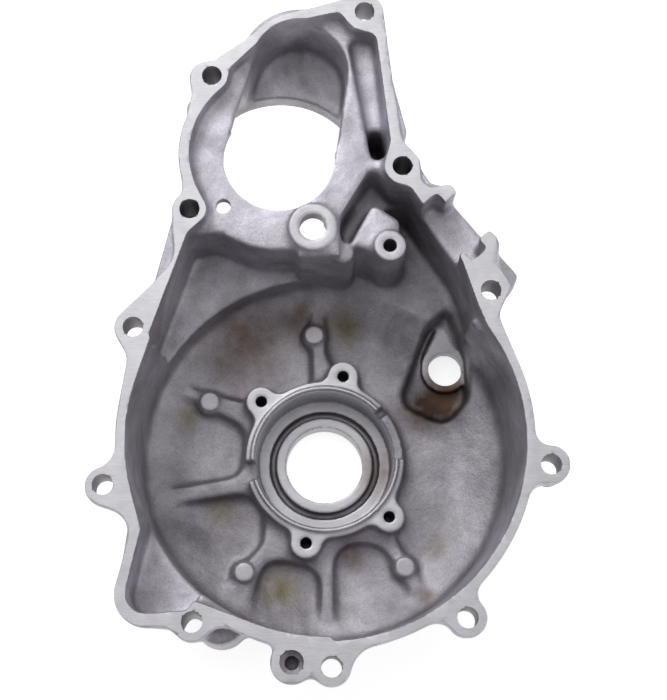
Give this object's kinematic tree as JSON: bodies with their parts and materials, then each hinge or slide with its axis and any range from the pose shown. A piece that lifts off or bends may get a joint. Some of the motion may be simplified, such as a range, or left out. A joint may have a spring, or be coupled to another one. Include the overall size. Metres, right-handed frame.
{
  "type": "alternator cover",
  "caption": "Cast aluminium engine side cover with a round stator bowl, a starter nose opening, a machined gasket face and bolt lugs round its edge.",
  "frame": {"origin": "crank axis at the outer face of the crank boss", "axes": "+Z along the crank axis towards the gasket face and the engine, +Y towards the starter end"},
  "size_m": [0.1664, 0.2499, 0.0605],
  "materials": {
    "cast_aluminium": "matt as cast, with machined faces"
  },
  "bodies": {
    "root": {"alternator_cover": "cast_aluminium"}
  },
  "joints": []
}
